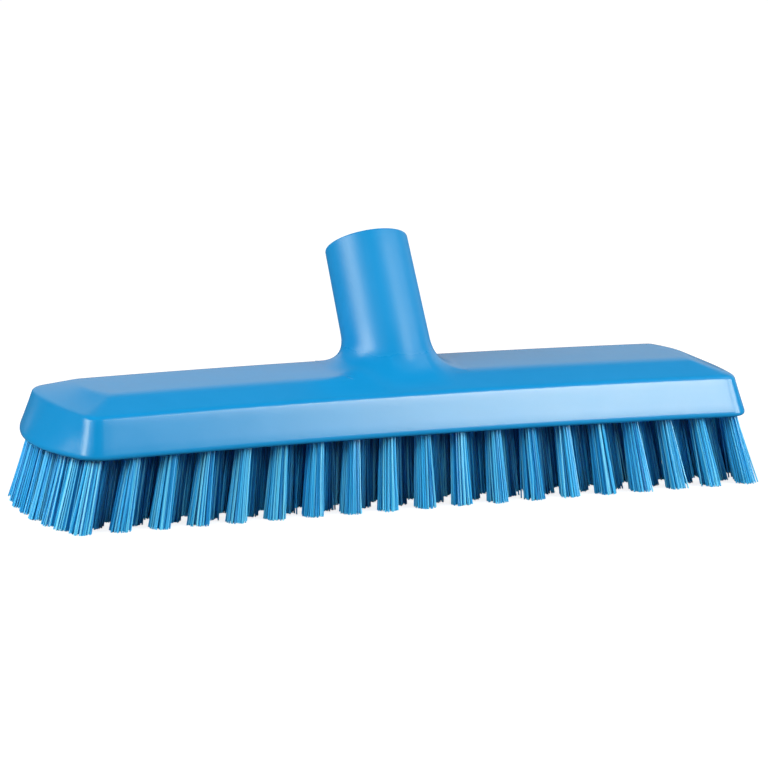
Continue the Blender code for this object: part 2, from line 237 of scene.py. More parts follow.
def bridged(rings: list[Ring]) -> BMesh:
    """Skin through rings of equal count.

    Args:
        rings: The rings, each a list of points in the same order.

    Returns:
        The skin, open at both ends.
    """
    skin = bmesh.new()
    loops = []
    for ring in rings:
        verts = [skin.verts.new(point) for point in ring]
        loops.append([skin.edges.new(pair) for pair in zip(verts, verts[1:] + verts[:1])])
    for low, high in zip(loops, loops[1:]):
        bmesh.ops.bridge_loops(skin, edges=low + high)
    return skin


def capped(skin: BMesh) -> BMesh:
    """Closes the open ends of a skin.

    Args:
        skin: The skin, which is changed.

    Returns:
        The closed shape, with its faces turned outwards.
    """
    bmesh.ops.holes_fill(skin, edges=[edge for edge in skin.edges if edge.is_boundary], sides=0)
    bmesh.ops.recalc_face_normals(skin, faces=skin.faces)
    return skin


def turned(profile: Pairs, sides: int) -> BMesh:
    """Shape that a closed profile makes, turned round Z.

    Args:
        profile: Points of the profile as (radius, height).
        sides: Number of steps of the turn.

    Returns:
        The turned shape, closed where the profile meets the axis.
    """
    shape = bmesh.new()
    verts = [shape.verts.new((radius, 0, height)) for radius, height in profile]
    edges = [shape.edges.new(pair) for pair in zip(verts, verts[1:])]
    bmesh.ops.spin(
        shape,
        geom=verts + edges,
        cent=(0, 0, 0),
        axis=(0, 0, 1),
        angle=2 * math.pi,
        steps=sides,
        use_merge=True,
    )
    bmesh.ops.remove_doubles(shape, verts=shape.verts, dist=MERGE_DISTANCE)
    bmesh.ops.recalc_face_normals(shape, faces=shape.faces)
    return shape


# Materials


class NodeBuilder:
    """Adds and links nodes of one tree in few words."""

    def __init__(self, tree: NodeTree) -> None:
        """Keeps the tree."""
        self.tree = tree

    def feed(self, node: Node, inputs: dict[str | int, object]) -> None:
        """Links or sets inputs of a node.

        Args:
            node: The node.
            inputs: Name or number of each input, with the socket, number or colour for it.
        """
        for key, value in inputs.items():
            socket = node.inputs[key]
            if isinstance(value, NodeSocket):
                self.tree.links.new(value, socket)
            elif socket.type == "RGBA":
                socket.default_value = (*value, 1)
            else:
                socket.default_value = value

    def add(self, kind: str, inputs: dict[str | int, object], **settings: object) -> Node:
        """Adds a node.

        Args:
            kind: Type name of the node.
            inputs: What its inputs take, as in feed.
            **settings: Properties of the node.

        Returns:
            The node.
        """
        node = self.tree.nodes.new(kind)
        for name, value in settings.items():
            setattr(node, name, value)
        self.feed(node, inputs)
        return node

    def coordinates(self, kind: str) -> NodeSocket:
        """Texture coordinates of one kind, such as Object."""
        return self.add("ShaderNodeTexCoord", {}).outputs[kind]

    def axes(self, kind: str) -> NodeOutputs:
        """X, Y and Z of texture coordinates of one kind."""
        return self.add("ShaderNodeSeparateXYZ", {0: self.coordinates(kind)}).outputs

    def noise(self, vector: NodeSocket, scale: object, octaves: float) -> NodeSocket:
        """Noise that reads vector, with scale cells in a metre, as a number or socket."""
        inputs = {"Vector": vector, "Scale": scale, "Detail": octaves}
        return self.add("ShaderNodeTexNoise", inputs).outputs["Fac"]

    def range(
        self, value: NodeSocket, low: float, high: float, to_low: float = 0.0, to_high: float = 1.0
    ) -> NodeSocket:
        """Value mapped from the range low to high to the range to_low to to_high, clamped."""
        inputs = {"Value": value, "From Min": low, "From Max": high, "To Min": to_low, "To Max": to_high}
        return self.add("ShaderNodeMapRange", inputs).outputs["Result"]

    def math(self, operation: str, first: object, second: object) -> NodeSocket:
        """Result of one of Blender's math operations on two sockets or numbers."""
        return self.add("ShaderNodeMath", {0: first, 1: second}, operation=operation).outputs[0]

    def mix(self, share: object, first: object, second: object) -> NodeSocket:
        """Mix of two colours or sockets, where a share of 0 gives the first.

        Args:
            share: Socket or number.
            first: Socket or colour.
            second: Socket or colour.

        Returns:
            The mixed colour.
        """
        factor, colour_a, colour_b, result = 0, 6, 7, 2
        inputs = {factor: share, colour_a: first, colour_b: second}
        return self.add("ShaderNodeMix", inputs, data_type="RGBA").outputs[result]

    def seen(self) -> NodeSocket:
        """Value that is 1 for rays from the camera, straight or through something clear."""
        path = self.add("ShaderNodeLightPath", {}).outputs
        return self.math("MAXIMUM", path["Is Camera Ray"], path["Is Transmission Ray"])


def moulded_surface_group() -> NodeTree:
    """Group for the skin that a mould leaves: slow tone drift, fine grain and soft scuffs.

    Returns:
        The group, with outputs Tone, Gloss and Height.
    """
    drift_cells, cloud_cells, scuff_cells = 26.0, 140.0, (60.0, 900.0, 900.0)
    usual_noise, scuffed_noise = (0.3, 0.7), (0.66, 0.74)
    scuff_dullness, scuff_depth = 2.0, -0.8
    group = bpy.data.node_groups.new("moulded_surface", "ShaderNodeTree")
    for way, names in (("INPUT", ("Grain Scale", "Scuffs")), ("OUTPUT", ("Tone", "Gloss", "Height"))):
        for name in names:
            group.interface.new_socket(name=name, in_out=way, socket_type="NodeSocketFloat")
    build = NodeBuilder(group)
    given = build.add("NodeGroupInput", {}).outputs
    place = build.coordinates("Object")
    drift = build.noise(place, drift_cells, 2.0)
    cloud = build.noise(place, cloud_cells, 4.0)
    grain = build.noise(place, given["Grain Scale"], 2.0)
    lines = build.add("ShaderNodeMapping", {"Vector": place, "Scale": scuff_cells}).outputs["Vector"]
    scratch = build.range(build.noise(lines, 1.0, 1.0), *scuffed_noise)
    scuff = build.math("MULTIPLY", scratch, given["Scuffs"])
    slow = build.range(drift, *usual_noise, -SLOW_TONE, SLOW_TONE)
    fine = build.range(cloud, *usual_noise, -FINE_TONE, FINE_TONE)
    matt = build.range(cloud, *usual_noise, -1.0, 1.0)
    outputs = {
        "Tone": build.math("ADD", slow, fine),
        "Gloss": build.math("ADD", matt, build.math("MULTIPLY", scuff, scuff_dullness)),
        "Height": build.math("ADD", grain, build.math("MULTIPLY", scuff, scuff_depth)),
    }
    build.add("NodeGroupOutput", outputs)
    return group


@dataclass(frozen=True, kw_only=True)
class Finish:
    """What the finishes have in common: gloss and fine grain.

    Attributes:
        name: Name of the material.
        deep: Its darkest colour.
        roughness: Middle roughness.
        roughness_spread: How far grain and scuffs move it.
        grain_scale: Grain cells in a metre.
        grain_height: Height of the grain, in metres.
        grain_strength: Share of the grain that shows.
        scuffs: Strength of the fine scuffs.
        specular: Specular level, where 0.5 is that of plastic.
        sheen: Tint of its highlights.
        satin: How much rougher it gets towards its top.
        satin_foot: Height at which it starts to turn satin.
        satin_rise: Height over which it turns satin.
    """

    name: str
    deep: Colour
    roughness: float
    roughness_spread: float
    grain_scale: float
    grain_height: float
    grain_strength: float = 0.4
    scuffs: float = 0.0
    specular: float = 0.5
    sheen: Colour = WHITE
    satin: float = 0.0
    satin_foot: float = 0.0
    satin_rise: float = 14.0 * MM

    def started(self, group: NodeTree) -> tuple[Material, NodeBuilder, NodeSocket]:
        """Makes the material with everything but its colour.

        Args:
            group: The shared group of the moulded surface.

        Returns:
            The material, the builder of its nodes and the tone of its surface.
        """
        made = bpy.data.materials.new(self.name)
        made.use_nodes = True
        build = NodeBuilder(made.node_tree)
        values = {"Grain Scale": self.grain_scale, "Scuffs": self.scuffs}
        surface = build.add("ShaderNodeGroup", values, node_tree=group).outputs
        rough_range = [self.roughness + gloss * self.roughness_spread for gloss in GLOSS_RANGE]
        rough = build.range(surface["Gloss"], *GLOSS_RANGE, *rough_range)
        if self.satin:
            top = self.satin_foot + self.satin_rise
            more = build.range(build.axes("Object")["Z"], self.satin_foot, top, 0.0, self.satin)
            rough = build.math("ADD", rough, more)
        relief = {
            "Strength": self.grain_strength,
            "Distance": self.grain_height,
            "Height": surface["Height"],
        }
        inputs = {
            "Roughness": rough,
            "Normal": build.add("ShaderNodeBump", relief).outputs["Normal"],
            "Specular IOR Level": self.specular,
            "Specular Tint": self.sheen,
        }
        build.feed(made.node_tree.nodes["Principled BSDF"], inputs)
        return made, build, surface["Tone"]


@dataclass(frozen=True, kw_only=True)
class MouldedFinish(Finish):
    """Moulded plastic or rubber, whose colour drifts with the tone of its surface.

    Attributes:
        light: Its lightest colour.
    """

    light: Colour

    def build(self, group: NodeTree) -> Material:
        """Makes the material.

        Args:
            group: The shared group of the moulded surface.

        Returns:
            The material.
        """
        made, build, tone = self.started(group)
        share = build.range(tone, -SLOW_TONE - FINE_TONE, SLOW_TONE + FINE_TONE)
        colour = build.mix(share, self.deep, self.light)
        build.feed(made.node_tree.nodes["Principled BSDF"], {"Base Color": colour})
        return made


@dataclass(frozen=True, kw_only=True)
class FilamentFinish(Finish):
    """Extruded filament, toned strand by strand and along its length, with painted shade at its roots.

    Attributes:
        middle: Colour of most strands.
        pale: Colour of the palest strands.
        root_shade: How much painted shade darkens the colour at the block, where the block shades the
            strands.
        root_depth: Share of the deep colour that the painted shade darkens to.
        root_reach: Share of the length that the painted shade covers.
        cut_start: Share of the length where the pale cut end starts.
        cut_paleness: How pale the cut end is.
    """

    middle: Colour
    pale: Colour
    root_shade: float
    root_depth: float = 0.35
    root_reach: float = 0.35
    cut_start: float = 0.985
    cut_paleness: float = 0.5

    def build(self, group: NodeTree) -> Material:
        """Makes the material.

        Args:
            group: The shared group of the moulded surface.

        Returns:
            The material.
        """
        made, build, _ = self.started(group)
        tone, reach = (
            build.add("ShaderNodeAttribute", {}, attribute_name=name).outputs["Fac"]
            for name in ("tone", "reach")
        )
        low = build.mix(build.range(tone, 0.0, 0.5), self.deep, self.middle)
        strand = build.mix(build.range(tone, 0.5, 1.0), low, self.pale)
        # Painted shade: the strands darken towards the block, as if the block shaded them.
        shade = build.range(reach, 0.0, self.root_reach, 1.0 - self.root_shade, 1.0)
        dark = build.mix(shade, tuple(self.root_depth * part for part in self.deep), strand)
        cut_end = build.range(reach, self.cut_start, 1.0, 0.0, self.cut_paleness)
        colour = build.mix(cut_end, dark, self.pale)
        build.feed(made.node_tree.nodes["Principled BSDF"], {"Base Color": colour})
        return made


MOULDED_BLUE = MouldedFinish(
    name="blue_moulded_plastic",
    light=(0.007, 0.275, 0.610),
    deep=(0.005, 0.258, 0.575),
    roughness=0.24,
    roughness_spread=0.015,
    grain_scale=2400.0,
    grain_height=0.01 * MM,
    scuffs=0.15,
    sheen=(1.0, 0.94, 0.68),
    satin=0.15,
    satin_foot=48.0 * MM,
)
STRIP_BLUE = MouldedFinish(
    name="blue_strip_plastic",
    light=(0.012, 0.3, 0.70),
    deep=(0.006, 0.26, 0.62),
    roughness=0.4,
    roughness_spread=0.03,
    grain_scale=1800.0,
    grain_height=0.015 * MM,
    scuffs=0.4,
)
SEAL_RUBBER = MouldedFinish(
    name="black_seal_rubber",
    light=(0.03, 0.03, 0.032),
    deep=(0.014, 0.014, 0.015),
    roughness=0.7,
    roughness_spread=0.04,
    grain_scale=1500.0,
    grain_height=0.03 * MM,
    scuffs=0.3,
    specular=0.35,
)
BLUE_FILAMENT = FilamentFinish(
    name="blue_filament",
    deep=(0.006, 0.24, 0.60),
    middle=(0.04, 0.54, 0.97),
    pale=(0.17, 0.73, 1.0),
    # Strength of the painted shade at the strands' roots, under the block.
    root_shade=0.1,
    roughness=0.36,
    roughness_spread=0.06,
    grain_scale=2600.0,
    grain_height=0.02 * MM,
    grain_strength=0.15,
    specular=0.8,
    sheen=(0.85, 0.95, 1.0),
)


# The pieces of the brush


@dataclass
class BlockShape:
    """Sizes of the moulded block, as in the CAD model.

    A draft is how far a wall leans inwards, a run how far a slope reaches inwards, and a bow
    how far the middle of an end stands out past its corners. Heights are those at the ends,
    where the crown adds nothing, and the shift is how far the block stands off the middle.
    """

    half_length: float = 135.0 * MM
    half_width: float = 33.8 * MM
    corner_radius: float = 9.0 * MM
    shoulder_corner_radius: float = 6.4 * MM
    end_bow: float = 9.4 * MM
    shoulder_bow: float = 2.6 * MM
    wall_height: float = 14.1 * MM
    side_draft: float = 5.1 * MM
    end_draft: float = 8.4 * MM
    slope_rise: float = 4.5 * MM
    side_slope_run: float = 13.7 * MM
    end_slope_run: float = 11.2 * MM
    plateau_bow: float = 4.6 * MM
    plateau_corner_radius: float = 2.4 * MM
    crown_rise: float = 1.6 * MM
    lower_edge_round: float = 2.2 * MM
    upper_edge_round: float = 1.1 * MM
    side_shoulder_round: float = 2.0 * MM
    end_shoulder_round: float = 1.0 * MM
    side_hip_round: float = 3.6 * MM
    end_hip_round: float = 1.2 * MM
    underside: float = 24.7 * MM
    shift: float = 1.1816 * MM
    end_steps: int = 14
    corner_steps: int = 10
    side_steps: int = 36
    lower_edge_steps: int = 6
    wall_steps: int = 4
    upper_edge_steps: int = 8
    slope_steps: int = 6

    def crown(self, x: float) -> float:
        """Height that the bend of the block adds at x."""
        return self.crown_rise * (1 - (x / self.half_length) ** 2)

    @property
    def slope_edge(self) -> float:
        """Distance from the middle to the top of the wall."""
        return self.half_width - self.side_draft

    @property
    def plateau(self) -> float:
        """Height of the plateau at the ends."""
        return self.underside + self.wall_height + self.slope_rise

    @property
    def plateau_half_width(self) -> float:
        """Half width of the plateau."""
        return self.slope_edge - self.side_slope_run

    def under(self, x: float, y: float) -> Vector:
        """Point of the underside at a place along the block and across it from its middle."""
        return Vector((x, y - self.shift, self.underside + self.crown(x)))

    def top_height(self, point: Vector) -> float:
        """Height of the upper face over or under a point inside the slopes."""
        run = max(0.0, abs(point.y + self.shift) - self.plateau_half_width)
        return self.plateau + self.crown(point.x) - run * self.slope_rise / self.side_slope_run

    def outline(
        self, half_length: float, half_width: float, bow: float, radius: float, height: float
    ) -> Ring:
        """Plan of the block at one height: straight sides, bowed ends and round corners.

        Args:
            half_length: Half length in the middle.
            half_width: Half width.
            bow: How far the middle of the end stands out past its corners.
            radius: Radius of the corners.
            height: Height at the ends.

        Returns:
            Points in order, starting in the middle of the right end.
        """
        corner_x = half_length - bow
        turn = math.atan(2 * bow / half_width)
        reach = radius * math.tan((math.pi / 2 - turn) / 2)
        end_y = half_width - reach * math.cos(turn)
        end = [
            Vector((half_length - bow * (y / half_width) ** 2, y, 0))
            for y in steps(0, end_y, self.end_steps)
        ]
        side = [Vector((x, half_width, 0)) for x in steps(corner_x - reach, 0, self.side_steps)]
        tip = Vector((corner_x, half_width, 0))
        corner = [blend(end[-1], tip, side[0], t) for t in steps(0, 1, self.corner_steps)]
        quarter = end + corner[1:-1] + side
        back = [Vector((-p.x, p.y, 0)) for p in reversed(quarter[:-1])]
        left = [Vector((-p.x, -p.y, 0)) for p in quarter[1:]]
        front = [Vector((p.x, -p.y, 0)) for p in reversed(quarter[1:-1])]
        points = quarter + back + left + front
        return [Vector((p.x, p.y - self.shift, height + self.crown(p.x))) for p in points]

    def on_slope(self, near: Ring, far: Ring, side_round: float, end_round: float) -> Ring:
        """Ring on the slopes where the rounding of an edge ends.

        Args:
            near: Ring of the edge's corner.
            far: Ring at the other end of the slope.
            side_round: Reach of the rounding at the sides.
            end_round: Reach of the rounding at the ends.

        Returns:
            The ring.
        """
        side_share = side_round / self.side_slope_run
        end_share = end_round / self.end_slope_run
        ring = []
        for start, target in zip(near, far):
            run = target - start
            endwise = abs(run.x) / (abs(run.x) + abs(run.y))
            ring.append(start.lerp(target, endwise * end_share + (1 - endwise) * side_share))
        return ring

    def rings(self) -> list[Ring]:
        """Rings of the block's outside.

        Returns:
            The rings, from the edge of the underside up to the edge of the plateau.
        """
        length, width, edge = self.half_length, self.half_width, self.lower_edge_round
        foot_plan = (self.end_bow, self.corner_radius, self.underside)
        foot = self.outline(length, width, *foot_plan)
        inner_foot = self.outline(length - edge, width - edge, *foot_plan)

        length, width = length - self.end_draft, self.slope_edge
        top = self.underside + self.wall_height
        shoulder = self.outline(length, width, self.shoulder_bow, self.shoulder_corner_radius, top)

        length, width = length - self.end_slope_run, self.plateau_half_width
        hip_plan = (self.plateau_bow, self.plateau_corner_radius, self.plateau)
        hip = self.outline(length, width, *hip_plan)
        inner_hip = self.outline(length - self.end_hip_round, width - self.side_hip_round, *hip_plan)

        above_foot = between(foot, shoulder, edge / self.wall_height)
        below_shoulder = between(shoulder, foot, self.upper_edge_round / self.wall_height)
        on_slope = self.on_slope(shoulder, hip, self.side_shoulder_round, self.end_shoulder_round)
        under_hip = self.on_slope(hip, shoulder, self.side_hip_round, self.end_hip_round)
        wall = [between(above_foot, below_shoulder, t) for t in steps(0, 1, self.wall_steps)[1:-1]]
        slope = [between(on_slope, under_hip, t) for t in steps(0, 1, self.slope_steps)[1:-1]]
        return (
            rounded(inner_foot, foot, above_foot, self.lower_edge_steps)
            + wall
            + rounded(below_shoulder, shoulder, on_slope, self.upper_edge_steps)
            + slope
            + rounded(under_hip, hip, inner_hip, self.upper_edge_steps)
        )

    def shell(self) -> BMesh:
        """Closed shell of the block without its socket.

        Returns:
            The shell, with its underside and plateau cut into strips that follow its bend.
        """
        rings = self.rings()
        skin = bridged(rings)
        count = len(rings[0])
        skin.verts.ensure_lookup_table()
        for first, direction in ((0, -1), (count * (len(rings) - 1), 1)):
            loop = [skin.verts[first + k] for k in range(count)]
            skin.faces.new(loop[::direction])
            for k in range(1, count // 2):
                bmesh.ops.connect_verts(skin, verts=[loop[k], loop[-k]])
        bmesh.ops.recalc_face_normals(skin, faces=skin.faces)
        return skin

    def bar(self, half_length: float, half_width: float, low: float, high: float) -> BMesh:
        """Bar round the middle of the block that follows its bend.

        Args:
            half_length: Half length of the bar.
            half_width: Half width of the bar.
            low: Its lower face, over the height of the underside.
            high: Its upper face, over the height of the underside.

        Returns:
            The bar.
        """
        shape = bmesh.new()
        middle = Vector((0, -self.shift, self.underside + (high + low) / 2))
        size = Vector((2 * half_length, 2 * half_width, high - low))
        bmesh.ops.create_cube(shape, size=1, matrix=Matrix.LocRotScale(middle, None, size))
        for x in steps(-half_length, half_length, self.side_steps)[1:-1]:
            split(shape, (x, 0, 0), (1, 0, 0))
        for vert in shape.verts:
            vert.co.z += self.crown(vert.co.x)
        return shape


@dataclass
class Socket:
    """The slanted handle socket that grows out of the block."""

    block: BlockShape
    lean: float = math.radians(31)
    rise: float = 46.1 * MM
    back_ledge: float = 11.0 * MM
    foot_radius: float = 15.4 * MM
    rim_radius: float = 14.8 * MM
    rim_round: float = 0.8 * MM
    fillet: float = 11.0 * MM
    fillet_ledge: float = 1.0 * MM
    fillet_turn: float = 0.5
    sink: float = 0.06 * MM
    root: float = 3.0 * MM
    bore_radius: float = 12.0 * MM
    bore_depth: float = 42.0 * MM
    mouth_chamfer: float = 0.9 * MM
    passage_radius: float = 2.7 * MM
    passage_overlap: float = 0.3 * MM
    sides: int = 128
    fillet_steps: int = 14
    wall_steps: int = 8
    rim_steps: int = 5
    meeting_rounds: int = 3
    bore_sides: int = 96
    passage_sides: int = 40

    @property
    def axis(self) -> Vector:
        """Direction of the socket."""
        return Vector((0, math.sin(self.lean), math.cos(self.lean)))

    @property
    def across(self) -> Vector:
        """Direction across the socket, down towards the back."""
        return Vector((0, math.cos(self.lean), -math.sin(self.lean)))

    @property
    def foot(self) -> Vector:
        """Middle of the socket's foot on the plateau."""
        setback = self.block.slope_edge - self.back_ledge - self.foot_radius / math.cos(self.lean)
        return Vector((0, setback - self.block.shift, self.block.plateau + self.block.crown_rise))

    @property
    def rim(self) -> Vector:
        """Middle of the socket's rim."""
        return self.foot + self.axis * self.rise

    @property
    def floor(self) -> Vector:
        """Middle of the floor of the bore."""
        return self.rim - self.axis * self.bore_depth

    def outside(self) -> BMesh:
        """Closed shell of the socket's outside with the fillet at its foot.

        Returns:
            The shell, with its root inside the block.
        """
        block = self.block
        edge = block.slope_edge - self.fillet_ledge - block.upper_edge_round
        lines = []
        for k in range(self.sides):
            angle = 2 * math.pi * k / self.sides
            radial = Vector((math.cos(angle), 0, 0)) + self.across * math.sin(angle)
            outward = Vector((radial.x, radial.y, 0)).normalized()
            rim = self.rim + radial * self.rim_radius
            foot = self.foot + radial * self.foot_radius
            run = (rim - foot).normalized()
            meet = foot.copy()
            for _ in range(self.meeting_rounds):
                meet += run * ((block.top_height(meet) - meet.z) / run.z)
            room = edge - abs(meet.y + block.shift)
            fillet = min(self.fillet, room / max(abs(outward.y), self.fillet_turn))
            out = meet + outward * fillet
            out.z = block.top_height(out) - self.sink
            above = meet + run * fillet
            below_rim = rim - self.axis * self.rim_round
            inner = self.rim + radial * (self.rim_radius - self.rim_round)
            line = [out - Vector((0, 0, self.root))]
            line += [blend(out, meet, above, t) for t in steps(0, 1, self.fillet_steps)]
            line += [above.lerp(below_rim, t) for t in steps(0, 1, self.wall_steps)[1:-1]]
            line += [blend(below_rim, rim, inner, t) for t in steps(0, 1, self.rim_steps)]
            lines.append(line)
        return capped(bridged([list(ring) for ring in zip(*lines)]))

    def bore(self) -> BMesh:
        """Cutter of the bore with its chamfered mouth.

        Returns:
            The cutter.
        """
        radius = self.bore_radius
        profile = [
            (0, PAST),
            (radius + self.mouth_chamfer + PAST, PAST),
            (radius, -self.mouth_chamfer),
            (radius, -self.bore_depth),
            (0, -self.bore_depth),
        ]
        return moved(turned(profile, self.bore_sides), leaning(self.rim, self.lean))

    def passage(self, roof: float) -> BMesh:
        """Cutter of the water passage from the bore to the channel.

        Args:
            roof: Height of the channel's roof over the underside.

        Returns:
            The cutter.
        """
        radius = self.passage_radius
        fall = self.floor.z - self.block.underside - roof - self.block.crown_rise
        lean = math.atan2(self.floor.y + self.block.shift, fall)
        way = fall / math.cos(lean) + radius * math.tan(abs(lean)) + self.passage_overlap
        cutter = turned([(0, PAST), (radius, PAST), (radius, -way), (0, -way)], self.passage_sides)
        return moved(cutter, leaning(self.floor, lean))


@dataclass
class SocketThread:
    """The coarse moulded thread inside the bore.

    Its start is how far below the rim it begins, and its sink how deep its root lies in the
    wall. The shares say how much of its half width the shoulder and the crest of the ridge
    have, and how much is left where it fades.
    """

    socket: Socket
    pitch: float = 4.2 * MM
    turns: float = 5.5
    start: float = 5.0 * MM
    depth: float = 1.15 * MM
    sink: float = 0.25 * MM
    crest_round: float = 0.25 * MM
    half_width: float = 1.25 * MM
    shoulder_share: float = 0.42
    crest_share: float = 0.2
    faded_share: float = 0.35
    steps_in_turn: int = 48
    fade_steps: int = 16

    def ridge(self) -> BMesh:
        """Ridge of the thread.

        Returns:
            The ridge, which winds down the bore and fades at both ends.
        """
        wall = self.socket.bore_radius + self.sink
        count = int(self.turns * self.steps_in_turn)
        rings = []
        for k in range(count + 1):
            angle = 2 * math.pi * k / self.steps_in_turn
            height = -self.start - self.pitch * k / self.steps_in_turn
            fade = smooth_share(k, self.fade_steps) * smooth_share(count - k, self.fade_steps)
            tip = self.socket.bore_radius - self.depth * fade
            half = self.half_width * (self.faded_share + (1 - self.faded_share) * fade)
            upper = [
                (wall, half),
                (tip + self.crest_round, half * self.shoulder_share),
                (tip, half * self.crest_share),
            ]
            profile = [(r, height + z) for r, z in upper]
            profile += [(r, height - z) for r, z in reversed(upper)]
            rings.append([Vector((r * math.cos(angle), r * math.sin(angle), z)) for r, z in profile])
        return moved(capped(bridged(rings)), leaning(self.socket.rim, self.socket.lean))


@dataclass
class WaterWay:
    """Sizes of the water channel under the block and of the strip that closes it."""

    strip_thickness: float = 3.0 * MM
    strip_ledge: float = 2.0 * MM
    play: float = 0.3 * MM
    channel_depth: float = 3.8 * MM
    channel_half_width: float = 5.905 * MM
    channel_half_length: float = 112.2 * MM

    @property
    def seat(self) -> float:
        """Height of the strip's seat over the underside."""
        return self.strip_thickness + self.play

    @property
    def roof(self) -> float:
        """Height of the channel's roof over the underside."""
        return self.seat + self.channel_depth


@dataclass
class TuftLayout:
    """Where the tufts leave the block and where they reach the floor.

    Margins lie between the edge of the block and the outer tufts. The row spacing is a share
    of the outer row's distance from the middle, and the tufts that close the rows stand on
    a bowed arc. The fans are how much further out the tips stand than the feet, and the
    drift moves all tips to the right.
    """

    block: BlockShape
    in_outer_row: int = 19
    end_row_margin: float = 13.9 * MM
    outer_row_margin: float = 6.4 * MM
    row_spacing_share: float = 0.2645
    end_arc_bow: float = 5.5 * MM
    end_tuft_offset: float = 4.4 * MM
    fan_length: float = 0.056
    fan_width: float = 0.085
    drift: float = 0.7 * MM

    @property
    def end_x(self) -> float:
        """Place of the last tuft of the outer row."""
        return self.block.half_length - self.end_row_margin

    @property
    def pitch(self) -> float:
        """Distance between tufts along a row."""
        return 2 * self.end_x / (self.in_outer_row - 1)

    @property
    def outer(self) -> float:
        """Distance of the outer row from the middle."""
        return self.block.half_width - self.outer_row_margin

    def end_arc_x(self, y: float) -> float:
        """Place along the block of the tuft that closes a row."""
        return self.end_x + self.end_arc_bow * (1 - (y / self.outer) ** 2)

    def rows(self) -> list[tuple[float, list[float]]]:
        """Rows from front to back.

        Returns:
            For each row its place across the block and its tufts' places along it.
        """
        half = self.in_outer_row // 2
        lattice = [self.pitch * k for k in range(-half, half + 1)]
        staggered = [(a + b) / 2 for a, b in zip(lattice, lattice[1:])]
        spacing = self.outer * self.row_spacing_share
        found = []
        for k, inner in enumerate((lattice[1:-1], staggered, lattice[1:-1])):
            y = self.outer - spacing * k
            end = self.end_arc_x(y)
            found.append((y, [-end] + inner + [end]))
        return [(-y, xs) for y, xs in found] + [(y, xs) for y, xs in reversed(found)]

    def groups(self) -> dict[str, Pairs]:
        """Tufts of each CAD node.

        Returns:
            For each node name the places of its tufts.
        """
        found = {}
        for number, (y, xs) in enumerate(self.rows(), 1):
            third = round(len(xs) / 3)
            cuts = (0, third, len(xs) - third, len(xs))
            for side, first, after in zip(Side, cuts, cuts[1:]):
                found[f"row_{number}_{side.value}"] = [(x, y) for x in xs[first:after]]
        offset = self.end_tuft_offset
        end = self.end_arc_x(offset)
        for side, x in ((Side.LEFT, -end), (Side.RIGHT, end)):
            found[f"end_{side.value}"] = [(x, -offset), (x, offset)]
        return found

    def tip(self, x: float, y: float) -> Vector:
        """Where the middle of the tuft with its foot at x and y reaches the floor."""
        along = x * (1 + self.fan_length) + self.drift
        return Vector((along, y * (1 + self.fan_width) - self.block.shift, 0))


